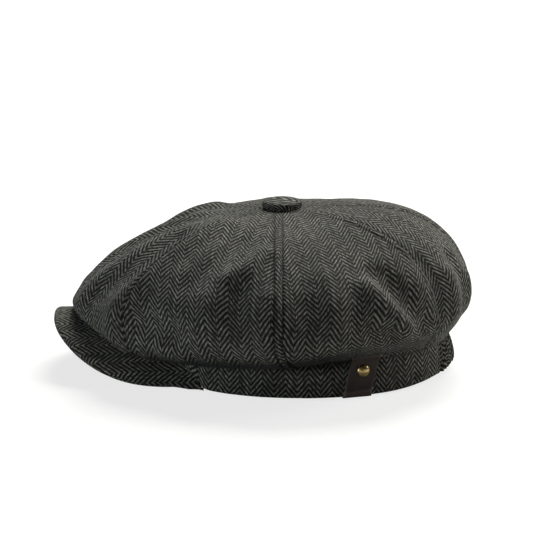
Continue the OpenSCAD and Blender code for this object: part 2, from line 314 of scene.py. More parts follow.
def shell(name, outer, inner, weave, material, wrap=False):
    """A closed sheet between an outer and an inner grid of points (rows, columns, 3)."""
    rows, columns = outer.shape[:2]
    count = rows * columns
    points = np.concatenate([outer.reshape(-1, 3), inner.reshape(-1, 3)])
    faces = grid_faces(rows, columns, 0, wrap) + grid_faces(rows, columns, count, wrap, flip=True)

    def at(j, i):
        return j * columns + i % columns

    steps = range(columns if wrap else columns - 1)
    for i in steps:
        faces.append([at(0, i), at(0, i + 1), count + at(0, i + 1), count + at(0, i)])
        j = rows - 1
        faces.append([at(j, i + 1), at(j, i), count + at(j, i), count + at(j, i + 1)])
    if not wrap:
        for j in range(rows - 1):
            i = columns - 1
            faces.append([at(j + 1, 0), at(j, 0), count + at(j, 0), count + at(j + 1, 0)])
            faces.append([at(j, i), at(j + 1, i), count + at(j + 1, i), count + at(j, i)])
    flat = np.concatenate([weave.reshape(-1, 3), weave.reshape(-1, 3)])
    return link_mesh(name, points, faces, flat, material)


def grid_normal(points):
    along = np.gradient(points, axis=0)
    across = np.gradient(points, axis=1)
    return unit(np.cross(along, across))


def flat_place(u, v):
    return np.stack([u, v, 0 * u], -1)


# ---- Materials ----
def new_material(name):
    material = bpy.data.materials.new(name)
    material.use_nodes = True
    tree = material.node_tree
    return material, tree, tree.nodes["Principled BSDF"]


class Nodes:
    """Short calls for building a node tree."""

    def __init__(self, tree):
        self.tree = tree

    def put(self, socket, value):
        if isinstance(value, bpy.types.NodeSocket):
            self.tree.links.new(value, socket)
        else:
            socket.default_value = value

    def math(self, operation, a, b=0.0, c=0.0):
        node = self.tree.nodes.new("ShaderNodeMath")
        node.operation = operation
        for k, value in enumerate((a, b, c)):
            self.put(node.inputs[k], value)
        return node.outputs[0]

    def mix(self, amount, a, b, blend="MIX"):
        node = self.tree.nodes.new("ShaderNodeMix")
        node.data_type = "RGBA"
        node.blend_type = blend
        self.put(node.inputs[0], amount)
        self.put(node.inputs[6], a)
        self.put(node.inputs[7], b)
        return node.outputs[2]

    def between(self, value, low, high, to_low=0.0, to_high=1.0, smooth=True):
        node = self.tree.nodes.new("ShaderNodeMapRange")
        node.interpolation_type = "SMOOTHSTEP" if smooth else "LINEAR"
        for k, item in enumerate((value, low, high, to_low, to_high)):
            self.put(node.inputs[k], item)
        return node.outputs[0]

    def noise(self, vector, scale, detail=2.0, rough=0.5):
        node = self.tree.nodes.new("ShaderNodeTexNoise")
        self.put(node.inputs["Vector"], vector)
        node.inputs["Scale"].default_value = scale
        node.inputs["Detail"].default_value = detail
        node.inputs["Roughness"].default_value = rough
        return node.outputs["Fac"]

    def speck(self, vector, scale):
        node = self.tree.nodes.new("ShaderNodeTexVoronoi")
        self.put(node.inputs["Vector"], vector)
        node.inputs["Scale"].default_value = scale
        return node.outputs["Distance"], node.outputs["Color"]

    def random(self, vector):
        node = self.tree.nodes.new("ShaderNodeTexWhiteNoise")
        self.put(node.inputs["Vector"], vector)
        return node.outputs["Value"]

    def join(self, x, y, z=0.0):
        node = self.tree.nodes.new("ShaderNodeCombineXYZ")
        for k, value in enumerate((x, y, z)):
            self.put(node.inputs[k], value)
        return node.outputs[0]

    def split(self, vector):
        node = self.tree.nodes.new("ShaderNodeSeparateXYZ")
        self.put(node.inputs[0], vector)
        return node.outputs

    def attribute(self, name):
        node = self.tree.nodes.new("ShaderNodeAttribute")
        node.attribute_name = name
        return node.outputs["Vector"]

    def object_place(self):
        return self.tree.nodes.new("ShaderNodeTexCoord").outputs["Object"]

    def bump(self, height, distance, strength=1.0):
        node = self.tree.nodes.new("ShaderNodeBump")
        node.inputs["Distance"].default_value = distance
        node.inputs["Strength"].default_value = strength
        self.put(node.inputs["Height"], height)
        return node.outputs[0]


# Herringbone: twill lines that turn over at the edge of each column
COLUMN_W = 7.6
TWILL_PITCH = 3.85
TWILL_SLOPE = 1.25
YARN_PITCH = 0.86


def tweed_material():
    material, tree, shader = new_material("herringbone_tweed")
    n = Nodes(tree)
    u, v, seam_shade = n.split(n.attribute("weave"))
    place = n.join(u, v)
    # the weave isn't ruled with a pen: it wanders a little
    wander = n.math("MULTIPLY", n.math("SUBTRACT", n.noise(place, 0.07), 0.5), 1.6)
    u = n.math("ADD", u, n.math("MULTIPLY", wander, 0.6))
    fine = n.math("MULTIPLY", n.math("SUBTRACT", n.noise(place, 0.5, 3.0), 0.5), 0.9)
    v = n.math("ADD", n.math("ADD", v, wander), fine)
    column = n.math("FLOOR", n.math("DIVIDE", u, COLUMN_W))
    zig = n.math("PINGPONG", u, COLUMN_W)
    odd = n.math("MODULO", n.math("ABSOLUTE", column), 2.0)
    phase = n.math("DIVIDE", n.math("ADD", v, n.math("MULTIPLY", zig, TWILL_SLOPE)), TWILL_PITCH)
    phase = n.math("ADD", phase, n.math("MULTIPLY", odd, 0.18))
    line = n.math("PINGPONG", phase, 0.5)
    line = n.between(line, 0.20, 0.40)
    # single floats of yarn along each line
    warp = n.math("DIVIDE", u, YARN_PITCH)
    thread = n.math("PINGPONG", warp, 0.5)
    float_shape = n.between(thread, 0.0, 0.30, 0.55, 1.0)
    cell = n.join(n.math("FLOOR", warp), n.math("FLOOR", phase), column)
    yarn_luck = n.random(cell)
    streak = n.random(n.join(n.math("FLOOR", warp), column, 3.0))
    patch = n.between(n.noise(place, 0.33, 3.0, 0.6), 0.3, 0.7, 0.7, 1.25)
    light_amount = n.math("MULTIPLY", n.math("MULTIPLY", line, float_shape), patch)
    light_amount = n.math("MULTIPLY", light_amount, n.between(yarn_luck, 0.0, 1.0, 0.35, 1.2, False))
    # slubs and stray fibres
    slub = n.between(n.noise(n.join(n.math("MULTIPLY", u, 0.5), v), 0.9, 4.0, 0.65), 0.40, 0.74, -0.2, 0.5)
    light_amount = n.math("ADD", light_amount, n.math("MULTIPLY", slub, 0.3))
    dark = n.mix(n.noise(place, 0.05, 2.0), (0.0065, 0.0065, 0.006, 1), (0.016, 0.0155, 0.0135, 1))
    light = n.mix(streak, (0.19, 0.192, 0.174, 1), (0.37, 0.365, 0.32, 1))
    colour = n.mix(n.between(light_amount, 0.0, 1.0, 0.0, 1.0, False), dark, light)
    near, _ = n.speck(place, 0.23)
    fleck = n.between(near, 0.10, 0.02)
    colour = n.mix(n.math("MULTIPLY", fleck, 0.6), colour, (0.52, 0.49, 0.37, 1))
    # random tone of the cloth, darkened by painted shade from the weave's third value: in the seams'
    # grooves, along the welt's stitch line, and in the crease under the crown's fold
    tone_and_painted_light = n.between(n.noise(n.object_place(), 22.0, 3.0), 0.3, 0.7, 0.84, 1.12)
    tone_and_painted_light = n.math("MULTIPLY", tone_and_painted_light, n.math("SUBTRACT", 1.0, seam_shade))
    colour = n.mix(1.0, colour, n.join(tone_and_painted_light, tone_and_painted_light, tone_and_painted_light), "MULTIPLY")
    n.put(shader.inputs["Base Color"], colour)
    fibre = n.noise(n.join(u, v), 3.2, 3.0, 0.7)
    n.put(shader.inputs["Roughness"], n.between(fibre, 0.2, 0.8, 0.82, 0.98))
    height = n.math("ADD", n.math("MULTIPLY", light_amount, 0.8), n.math("MULTIPLY", fibre, 0.35))
    n.put(shader.inputs["Normal"], n.bump(height, 0.00035, 0.9))
    shader.inputs["Specular IOR Level"].default_value = 0.12
    shader.inputs["Sheen Weight"].default_value = 0.04
    shader.inputs["Sheen Roughness"].default_value = 0.5
    shader.inputs["Sheen Tint"].default_value = (0.80, 0.88, 0.90, 1)
    return material


def satin_material():
    material, tree, shader = new_material("black_satin")
    n = Nodes(tree)
    u, v = n.split(n.attribute("weave"))[:2]
    threads = n.noise(n.join(n.math("MULTIPLY", u, 6.0), n.math("MULTIPLY", v, 0.6)), 1.0, 3.0)
    cloudy = n.noise(n.join(u, v), 0.06, 2.0)
    colour = n.mix(cloudy, (0.022, 0.022, 0.025, 1), (0.050, 0.050, 0.056, 1))
    n.put(shader.inputs["Base Color"], colour)
    n.put(shader.inputs["Roughness"], n.between(threads, 0.3, 0.7, 0.30, 0.44))
    n.put(shader.inputs["Normal"], n.bump(threads, 0.0001, 0.5))
    shader.inputs["Sheen Weight"].default_value = 0.15
    return material


def twill_tape_material():
    material, tree, shader = new_material("sweatband_cotton")
    n = Nodes(tree)
    u, v = n.split(n.attribute("weave"))[:2]
    rib = n.math("PINGPONG", n.math("ADD", n.math("DIVIDE", u, 1.1), n.math("DIVIDE", v, 1.6)), 0.5)
    thread = n.math("PINGPONG", n.math("DIVIDE", v, 0.55), 0.5)
    fuzz = n.noise(n.join(u, v), 2.5, 3.0)
    body = n.math("MULTIPLY", n.between(rib, 0.05, 0.4, 0.4, 1.0), n.between(thread, 0.0, 0.3, 0.7, 1.0))
    colour = n.mix(body, (0.008, 0.008, 0.009, 1), (0.040, 0.040, 0.043, 1))
    n.put(shader.inputs["Base Color"], n.mix(n.math("MULTIPLY", fuzz, 0.2), colour, (0.07, 0.07, 0.072, 1)))
    n.put(shader.inputs["Roughness"], n.between(fuzz, 0.2, 0.8, 0.75, 0.92))
    n.put(shader.inputs["Normal"], n.bump(n.math("ADD", body, n.math("MULTIPLY", fuzz, 0.4)), 0.0002, 0.8))
    return material


def leather_material():
    material, tree, shader = new_material("brown_leather")
    n = Nodes(tree)
    place = n.attribute("weave")
    edge = n.split(place)[2]
    near = n.speck(place, 1.5)[0]
    grain = n.between(near, 0.05, 0.55)
    cloudy = n.noise(place, 0.16, 4.0, 0.6)
    scuff = n.noise(place, 1.1, 5.0, 0.7)
    colour = n.mix(cloudy, (0.014, 0.0075, 0.006, 1), (0.034, 0.020, 0.016, 1))
    colour = n.mix(n.math("MULTIPLY", n.between(scuff, 0.52, 0.75), 0.4), colour, (0.085, 0.064, 0.052, 1))
    # the weave's third value lightens the leather: a painted highlight along the top edge, and lighter
    # leather on the strip below the crease and round the edges
    colour = n.mix(n.between(edge, 0.1, 1.0, 0.0, 0.85), colour, (0.115, 0.080, 0.066, 1))
    n.put(shader.inputs["Base Color"], colour)
    n.put(shader.inputs["Roughness"], n.between(scuff, 0.3, 0.7, 0.48, 0.68))
    height = n.math("ADD", n.math("MULTIPLY", grain, 0.5), n.math("MULTIPLY", scuff, 0.5))
    n.put(shader.inputs["Normal"], n.bump(height, 0.00025, 0.55))
    return material


def brass_material():
    material, tree, shader = new_material("antique_brass")
    n = Nodes(tree)
    place = n.object_place()
    tarnish = n.noise(place, 260.0, 3.0, 0.55)
    scratch = n.noise(n.join(n.math("MULTIPLY", n.split(place)[1], 3000.0), n.split(place)[2]), 1.0, 2.0)
    colour = n.mix(n.between(tarnish, 0.35, 0.65), (0.34, 0.25, 0.10, 1), (0.66, 0.50, 0.23, 1))
    n.put(shader.inputs["Base Color"], colour)
    shader.inputs["Metallic"].default_value = 1.0
    n.put(shader.inputs["Roughness"], n.between(tarnish, 0.3, 0.7, 0.36, 0.24))
    n.put(shader.inputs["Normal"], n.bump(scratch, 0.00004, 0.5))
    return material


def plain_material(name, low, high, rough, scale, metallic=0.0):
    """Hidden stiffeners and hardware: two close tones, uneven roughness and a fine surface."""
    material, tree, shader = new_material(name)
    n = Nodes(tree)
    place = n.object_place()
    grain = n.noise(place, scale, 4.0, 0.6)
    n.put(shader.inputs["Base Color"], n.mix(grain, low, high))
    n.put(shader.inputs["Roughness"], n.between(grain, 0.3, 0.7, rough - 0.08, rough + 0.08))
    n.put(shader.inputs["Normal"], n.bump(n.noise(place, scale * 2, 2.0), 0.0001, 0.5))
    shader.inputs["Metallic"].default_value = metallic
    return material


def thread_material():
    material, tree, shader = new_material("dark_thread")
    n = Nodes(tree)
    twist = n.noise(n.object_place(), 3500.0, 2.0)
    n.put(shader.inputs["Base Color"], n.mix(twist, (0.006, 0.006, 0.006, 1), (0.045, 0.044, 0.040, 1)))
    n.put(shader.inputs["Roughness"], n.between(twist, 0.3, 0.7, 0.6, 0.8))
    n.put(shader.inputs["Normal"], n.bump(twist, 0.0001, 0.6))
    return material


TWEED = tweed_material()
SATIN = satin_material()
COTTON = twill_tape_material()
LEATHER = leather_material()
BRASS = brass_material()
THREAD = thread_material()
BUCKRAM = plain_material("buckram", (0.50, 0.47, 0.40, 1), (0.66, 0.63, 0.56, 1), 0.85, 900)
ELASTIC = plain_material("elastic_tape", (0.46, 0.45, 0.42, 1), (0.60, 0.59, 0.56, 1), 0.8, 700)
BOARD = plain_material("peak_board", (0.55, 0.54, 0.50, 1), (0.66, 0.65, 0.61, 1), 0.55, 300)
METAL = plain_material("button_metal", (0.45, 0.45, 0.47, 1), (0.62, 0.62, 0.64, 1), 0.35, 500, 1.0)
LABEL = plain_material("label_tape", (0.52, 0.51, 0.48, 1), (0.66, 0.65, 0.62, 1), 0.7, 1500)


# ---- The crown's folds ----
# A fold runs between two places (angle, t), with its half width and height in millimetres.
# Heights above zero stand out, below zero sink in.
SIDE_FOLDS = [
    # soft ridge down the front quarter, with a hollow on each side of it
    ((40, 0.16), (33, 0.68), 9, 2.6),
    ((24, 0.24), (29, 0.31), 10, -2.2),
    ((30, 0.36), (19, 0.52), 12, -2.6),
    ((14, 0.20), (12, 0.52), 10, 1.6),
    # dent over the peak's corner and the lip below it
    ((44, 0.62), (52, 0.64), 9, -4.2),
    ((49, 0.71), (54, 0.73), 6, 1.6),
    ((36, 0.74), (42, 0.78), 7, 1.2),
    # shallow fan that leaves the side seam
    ((78, 0.26), (66, 0.38), 7, 1.8),
    ((62, 0.22), (54, 0.42), 8, -1.2),
    ((71, 0.42), (73, 0.57), 8, -2.6),
    ((63, 0.46), (62, 0.66), 9, 1.4),
    ((82, 0.44), (82, 0.64), 7, 1.3),
    # diagonal hollows and the fold between them on the rear quarter
    ((119, 0.42), (130, 0.65), 7, 2.4),
    ((112, 0.55), (125, 0.69), 8, -2.6),
    ((127, 0.39), (137, 0.64), 8, -2.8),
    ((98, 0.48), (101, 0.66), 8, -1.2),
    ((106, 0.36), (108, 0.55), 9, 1.2),
    # back quarter
    ((156, 0.50), (154, 0.66), 7, 1.8),
    ((147, 0.40), (146, 0.60), 6, -1.6),
    ((164, 0.46), (166, 0.66), 7, -1.6),
    ((172, 0.56), (174, 0.74), 6, 1.0),
]


def fold_height(points, side_folds, side):
    """Height of all folds of one side at surface points."""
    total = np.zeros(points.shape[:-1])
    for start, end, width, height in side_folds:
        share = np.linspace(0, 1, 9)
        theta = side * (start[0] + (end[0] - start[0]) * share)
        path = crown_plain(theta, start[1] + (end[1] - start[1]) * share)
        a, b = path[:-1], path[1:]
        nearest = np.full(points.shape[:-1], 1e9)
        for p, q in zip(a, b):
            d = q - p
            s = np.clip(((points - p) @ d) / (d @ d), 0, 1)
            nearest = np.minimum(nearest, np.linalg.norm(points - p - s[..., None] * d, axis=-1))
        total += height * np.exp(-((nearest / width) ** 2))
    return total


def mirrored_folds():
    """The far side has folds of the same kind in slightly different places and sizes."""
    luck = np.random.RandomState(7)
    changed = []
    for start, end, width, height in SIDE_FOLDS:
        turn = luck.uniform(-5, 5)
        slide = luck.uniform(-0.03, 0.03)
        changed.append(
            (
                (start[0] + turn, start[1] + slide),
                (end[0] + turn, end[1] + slide),
                width * luck.uniform(0.85, 1.2),
                height * luck.uniform(0.6, 1.1),
            )
        )
    return changed


RIGHT_FOLDS = mirrored_folds()

FOLD_STRENGTH = 1.9

# Distances from a seam at which the cloth is sampled, close together over the welt
NEAR_SEAM = np.array([0, 0.4, 0.9, 1.6, 2.6, 3.6, 4.4, 4.9, 5.3, 5.8, 6.6, 7.8, 9.4])
WELT_W = 5.3


def seam_strength(theta):
    """The side seams show clearly, the others are pressed nearly flat."""
    return 0.45 + 0.55 * hill(folded(theta), 90, 8)


def welt_side(d):
    """The side of a seam under which the allowances are stitched down."""
    groove = -1.0 * hill(d, 0, 0.75)
    raised = 0.95 * ease(d / 1.2) * (1 - ease((d - WELT_W + 0.4) / 2.0))
    stitched = -1.3 * hill(d, WELT_W, 0.7)
    return groove + raised + stitched


def plain_side(d):
    return -0.8 * hill(d, 0, 0.75) + 0.35 * ease(d / 1.5) * (1 - ease((d - 2) / 5))


def crown_folds(points, theta):
    """All folds of the crown, fading out at the middle seams so that both sides meet there."""
    side = 1 if theta.mean() > 0 else -1
    folds = fold_height(points, SIDE_FOLDS if side > 0 else RIGHT_FOLDS, side)
    return 5 * np.tanh(FOLD_STRENGTH * folds * ease(np.abs(points[..., 0]) / 12) / 5)


def crown_detail(points, theta, t, near, far, scale, welt_first):
    """Height over the plain crown: seams, folds and the cloth's unevenness."""
    folds = crown_folds(points, theta)
    quiet = ease(t / 0.14) * (1 - ease((t - 0.86) / 0.12))
    uneven = 0.9 * soft_noise(points, 34, 3) + 0.45 * soft_noise(points, 15, 5)
    uneven = uneven + 0.12 * soft_noise(points, 5, 9)
    first, last = theta[:, :1], theta[:, -1:]
    near_at, far_at = (first, last) if welt_first else (last, first)
    seams = welt_side(near / scale) * scale * seam_strength(near_at)
    seams = seams + plain_side(far / scale) * scale * seam_strength(far_at)
    crown_centre = ease(t / 0.10)
    return folds * quiet + uneven * quiet + seams * crown_centre


def arc_lengths(theta_grid, t, lining):
    points = crown_plain(theta_grid[None, :], t[:, None], lining)
    steps = np.linalg.norm(np.diff(points, axis=1), axis=-1)
    return np.concatenate([np.zeros((len(t), 1)), np.cumsum(steps, 1)], 1)


def panel_grid(start, end, t, near, middle_count, lining=False):
    """Angles of every point of a panel, with its distances in mm from both seams."""
    fine = np.linspace(start, end, 97)
    lengths = arc_lengths(fine, t, lining)
    theta = []
    from_start = []
    scales = []
    for row in lengths:
        width = row[-1]
        scale = min(1.0, width / 60)
        edge = near * scale
        middle = np.linspace(edge[-1], width - edge[-1], middle_count + 2)[1:-1]
        d = np.concatenate([edge, middle, width - edge[::-1]])
        from_start.append(d)
        theta.append(np.interp(d, row, fine))
        scales.append(scale)
    from_start = np.array(from_start)
    from_end = lengths[:, -1:] - from_start
    return np.array(theta), from_start, from_end, np.array(scales)[:, None]


def panel_weave(points, from_start, from_end, shift, lean=0.0):
    """Place on the flat cloth: columns side by side, leaning a little from the panel's middle line."""
    middle = points.shape[1] // 2
    steps = np.linalg.norm(np.diff(points[:, middle], axis=0), axis=-1)
    down = np.concatenate([[0], np.cumsum(steps)])[:, None]
    u = (from_start - from_end) / 2
    v = down - u**2 / (2 * np.maximum(down, 12)) * (1 - ease((down - 30) / 90))
    # below the widest line the columns follow the seams again
    hang = np.minimum(v, down[int(WIDEST_T * len(down))])
    return flat_place(u + shift + lean * hang, v + 0 * u)


def crown_panel(name, start, end, welt_first, shift, lean):
    t = HOLE_T + (1 - HOLE_T) * np.linspace(0, 1, 121)
    theta, from_start, from_end, scale = panel_grid(start, end, t, NEAR_SEAM, 30)
    tt = t[:, None] + 0 * theta
    plain = crown_plain(theta, tt)
    normal = crown_normal(theta, tt)
    near, far = (from_start, from_end) if welt_first else (from_end, from_start)
    outer = plain + normal * crown_detail(plain, theta, tt, near, far, scale, welt_first)[..., None]
    inner = outer - normal * TWEED_T
    weave = panel_weave(plain, from_start, from_end, shift, lean)
    near_seam, far_seam = (start, end) if welt_first else (end, start)
    # little light reaches the crease where the crown's fold hangs over the band
    crease = 0.88 * ease((tt - 0.70) / 0.10) * (1 - ease((folded(theta) - 98) / 24))
    # the weave's third value is painted shade: this crease, plus the grooves of both seams and the welt's
    # stitch line
    weave[..., 2] = crease + (
        (0.35 * hill(near, 0, 1.0) + 0.7 * hill(near, WELT_W, 0.9)) * seam_strength(near_seam)
        + 0.3 * hill(far, 0, 1.0) * seam_strength(far_seam)
    )
    return shell(name, outer, inner, weave, TWEED), outer, normal


PANELS = ["front", "side_front", "side_rear", "rear"]
# The cloth is cut so that its columns hang nearly upright at the side, not fanned out like the seams
COLUMN_LEAN = [-0.18, -0.28, 0.22, 0.2]


def build_crown():
    made = {}
    for side, side_name in ((1, "left"), (-1, "right")):
        for k, part in enumerate(PANELS):
            a, b = side * SEAMS[k], side * SEAMS[k + 1]
            start, end = min(a, b), max(a, b)
            # the allowances of each seam are pressed towards the front
            welt_first = side < 0
            name = f"crown_{part}_{side_name}"
            shift = 3.8 + 2.3 * k
            lean = side * COLUMN_LEAN[k]
            obj, outer, normal = crown_panel(name, start, end, welt_first, shift, lean)
            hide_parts(f"crown_panel_{part}_{side_name}")
            made[name] = (obj, outer, normal)
    return made


def build_lining():
    made = []
    for side, side_name in ((1, "left"), (-1, "right")):
        for k, part in enumerate(PANELS):
            a, b = side * SEAMS[k], side * SEAMS[k + 1]
            t = HOLE_T + (1 - HOLE_T) * np.linspace(0, 1, 61)
            near = np.array([0, 0.6, 1.4, 3, 6])
            theta, from_start, from_end, scale = panel_grid(min(a, b), max(a, b), t, near, 18, True)
            tt = t[:, None] + 0 * theta
            plain = crown_plain(theta, tt, True)
            normal = crown_normal(theta, tt, True)
            nearest = np.minimum(from_start, from_end) / scale
            quiet = ease(t / 0.14)[:, None] * (1 - ease((t - 0.8) / 0.15))[:, None]
            slack = 1.1 * soft_noise(plain, 26, 21) + 0.5 * soft_noise(plain, 9, 22)
            height = -0.8 * hill(nearest, 0, 0.9) * scale - np.abs(slack) * quiet
            height = height + np.minimum(crown_folds(crown_plain(theta, tt), theta), 0) * quiet
            outer = plain + normal * height[..., None]
            inner = outer - normal * 0.35
            weave = panel_weave(plain, from_start, from_end, 0)
            obj = shell(f"lining_{part}_{side_name}", outer, inner, weave, SATIN)
            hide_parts(f"lining_panel_{part}_{side_name}")
            made.append((obj, part))
    return made


# ---- Bands ----
def rim_arc(theta):
    """Length along the rim, in millimetres, at each angle."""
    fine = np.linspace(-200, 360, 1201)
    p = rim_point(fine, 0, 0 * fine)
    steps = np.linalg.norm(np.diff(p, axis=0), axis=-1)
    total = np.concatenate([[0], np.cumsum(steps)])
    return np.interp(theta, fine, total)


def rim_normal(theta):
    return unit(np.stack([sind(theta) / RIM_W, -cosd(theta) / RIM_L, 0 * theta], -1))


def swept_band(name, theta, profile, material, ripple=None, noise_seed=0, uneven=0.35, level_inset=0):
    """A strip swept round the rim. profile is a closed outline of (outward, up) in millimetres."""
    profile = np.asarray(profile, float)
    lengths = np.concatenate([[0], np.cumsum(np.linalg.norm(np.diff(profile, axis=0), axis=-1))])
    th = theta[None, :] + 0 * profile[:, :1]
    out = profile[:, :1] + 0 * th
    up = profile[:, 1:] + 0 * th
    pull = rear_pull(th)
    lift = rear_lift(th)
    squash = 1 - (lift + pull * REAR_SINK) / BAND_H
    base = rim_point(th, 0, rim_z(th, level_inset) + lift + up * squash)
    out = out - REAR_PULL * pull * np.clip(up / BAND_H, 0, 1.1) ** 1.5
    if ripple is not None:
        out = out + ripple(th, up)
    points = base + rim_normal(th) * out[..., None]
    if uneven:
        wave = uneven * soft_noise(base, 22, 40 + noise_seed) + 0.1 * soft_noise(base, 6, 41 + noise_seed)
        points = points + rim_normal(th) * wave[..., None]
    u = rim_arc(th)
    v = lengths[:, None] + 0 * th
    # shade of the crease below the crown's fold
    shade = 0.8 * ease((up - BAND_H + 8) / 6) * (1 - ease((folded(th) - 98) / 24))
    weave = np.stack([u + 0 * v, v, shade if material is TWEED else 0 * v], -1).reshape(-1, 3)
    rows, columns = points.shape[:2]
    # the outline closes on itself, so its first and last rows are joined
    faces = grid_faces(rows, columns)
    for i in range(columns - 1):
        faces.append([(rows - 1) * columns + i, i, i + 1, (rows - 1) * columns + i + 1])
    faces.append([j * columns for j in range(rows)][::-1])
    faces.append([j * columns + columns - 1 for j in range(rows)])
    return link_mesh(name, points.reshape(-1, 3), faces, weave, material)


def rounded_strip(outer, inner, low, high, bulge=0.0, rows=9, edge_rows=4):
    """Outline of a strip between two offsets and two heights, with both edges rolled over."""
    middle = (outer + inner) / 2
    half = (outer - inner) / 2
    face = np.linspace(high - half, low + half, rows)
    belly = bulge * np.sin(np.pi * np.linspace(0, 1, rows))
    points = [(outer + b, z) for z, b in zip(face, belly)]
    for k in range(1, edge_rows + 1):
        a = math.pi * k / (edge_rows + 1)
        points.append((middle + half * math.cos(a), low + half - half * math.sin(a)))
    points += [(inner, z) for z in face[::-1]]
    for k in range(1, edge_rows + 1):
        a = math.pi * k / (edge_rows + 1)
        points.append((middle - half * math.cos(a), high - half + half * math.sin(a)))
    return points


GATHER_FROM = 153.7


def band_angles(start, end, step=1.0):
    return np.linspace(start, end, max(3, int(abs(end - start) / step) + 1))


def build_band():
    parts = []
    profile = rounded_strip(0.2, -1.9, 0.3, BAND_H + 0.4, bulge=0.5)
    front = swept_band("band_front", band_angles(-90, 90), profile, TWEED)
    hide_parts("outer_band")
    parts.append((front, "front"))
    for side, side_name in ((1, "left"), (-1, "right")):
        theta = band_angles(min(90 * side, GATHER_FROM * side), max(90 * side, GATHER_FROM * side))
        rear = swept_band(f"band_rear_{side_name}", theta, profile, TWEED)
        parts.append((rear, "rear"))
    lining_profile = rounded_strip(-2.5, -3.6, 1.2, BAND_H + 0.6, rows=7)
    for name, start, end, kind in (
        ("sweatband_front", -90, 90, "front"),
        ("sweatband_side_left", 90, 154, "rear"),
        ("sweatband_side_right", -154, -90, "rear"),
        ("sweatband_rear", 154, 206, "rear"),
    ):
        strip = swept_band(name, band_angles(start, end), lining_profile, COTTON, uneven=0.0, level_inset=3)
        if name == "sweatband_front":
            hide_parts("sweatband")
        if name == "sweatband_rear":
            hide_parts("rear_sweatband")
        parts.append((strip, kind))
    # name, CAD part, slot, material, angles, and the strip's outer face, inner face, foot and top
    hidden_strips = [
        ("stiffener", "band_stiffener", "buckram", BUCKRAM, (-153, 153), (-1.95, -2.4, 2, 22)),
        ("elastic", "elastic_tape", "elastic", ELASTIC, (154, 206), (-1.6, -2.2, 2, 22)),
        ("label", "size_label", "label_tape", LABEL, (175.5, 184.5), (-3.75, -4.05, 6, 19)),
    ]
    for name, node, slot, material, angles, size in hidden_strips:
        strip = swept_band(name, band_angles(*angles), rounded_strip(*size, rows=5), material, uneven=0)
        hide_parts(node)
        parts.append((strip, "rear"))
    return parts


def gather_ripple(th, up):
    """Small upright folds of uneven size that the elastic draws up."""
    span = ease((th - 152) / 6) * ease((208 - th) / 6)
    wander = 1.6 * soft_noise(np.stack([th * 0.9, up * 0.25, 0 * th], -1), 4.0, 61)
    wave = np.cos(np.radians((th - 180 + wander) * 360 / 3.4))
    size = 1.0 + 0.5 * soft_noise(np.stack([th, up * 0.2, 0 * th], -1), 7.0, 62)
    belly = np.sin(np.pi * np.clip(up / BAND_H, 0, 1)) ** 0.6
    return span * (1.2 * wave * size + 0.7 * belly)


def build_gather():
    profile = rounded_strip(0.4, -1.4, 0.4, BAND_H + 0.3, bulge=0.3, rows=15)
    theta = band_angles(GATHER_FROM, 360 - GATHER_FROM, 0.3)
    cover = swept_band("rear_gather_cover", theta, profile, TWEED, ripple=gather_ripple, uneven=0.2)
    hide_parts("rear_gather")
    return cover


# ---- The peak ----
def peak_outline(margin):
    """Root and edge of the peak in plan, from one back corner round to the other."""
    half_w = PEAK_HALF_W + 1 - margin
    gap = 0.3
    # the last stretch of the edge runs out sideways, into the lower edge of the band
    flare = 2.5
    root_angle = math.degrees(math.asin((half_w + flare) / (RIM_W + gap)))
    s = np.linspace(-1, 1, 121)
    root = rim_point(root_angle * s, -gap, 0)[:, :2]
    corner_y = root[0, 1]
    a = 90 * np.sign(s) * np.abs(s) ** 0.9
    reach = PEAK_TIP - margin + corner_y
    x = np.sign(a) * (half_w * np.abs(sind(a)) ** 0.82 + flare * ease((np.abs(s) - 0.95) / 0.05))
    y = corner_y - reach * np.maximum(cosd(a), 0) ** 0.62
    return root, np.stack([x, y], -1)


def peak_layer(name, sign, node):
    """One cover of the peak: its flat part, then half of the roll round the edge."""
    root, edge = peak_outline(0.0)
    # thinner towards the two back corners, where it runs out into the band
    steps = np.linalg.norm(np.diff(edge, axis=0), axis=-1)
    along = np.concatenate([[0], np.cumsum(steps)])
    from_corner = np.minimum(along, along[-1] - along)
    thickness = PEAK_HALF_T * (0.25 + 0.75 * ease(from_corner / 26))
    inward = unit(root.mean(0) - edge)
    flat_rows = 34
    rows = []
    for q in np.linspace(0, 1, flat_rows):
        rows.append((root + (edge + inward * thickness[:, None] - root) * q, thickness * sign))
    for a in np.linspace(0, 90, 8)[1:]:
        rows.append((edge + inward * thickness[:, None] * (1 - sind(a)), thickness * sign * cosd(a)))
    surface = np.array(
        [np.stack([p[:, 0], p[:, 1], peak_height(p[:, 0], p[:, 1], lift)], -1) for p, lift in rows]
    )
    quiet = ease(np.linspace(0, 1, len(rows)) / 0.1)[:, None]
    wave = (0.3 * soft_noise(surface, 28, 71) + 0.08 * soft_noise(surface, 7, 72)) * quiet
    normal = grid_normal(surface)
    if normal[5, 60, 2] * sign < 0:
        normal = -normal
    surface = surface + normal * wave[..., None]
    inside = surface - normal * 0.7
    # the cloth's columns run from front to back and carry on over the edge
    steps = np.linalg.norm(np.diff(surface, axis=0), axis=-1)
    steps[: flat_rows - 1] = 0
    over = np.concatenate([np.zeros((1, len(edge))), np.cumsum(steps, 0)])
    flat = surface.copy()
    flat[flat_rows:] = surface[flat_rows - 1]
    u = PEAK_ARCH_R * np.arcsin(np.clip(flat[..., 0] / PEAK_ARCH_R, -1, 1)) - inward[None, :, 0] * over
    v = -flat[..., 1] + inward[None, :, 1] * over
    pair = (surface, inside) if sign > 0 else (inside, surface)
    obj = shell(name, pair[0], pair[1], flat_place(u, v), TWEED)
    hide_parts(node)
    return obj


def build_peak():
    return [peak_layer("peak_top", 1, "peak_top_cover"), peak_layer("peak_under", -1, "peak_under_cover")]


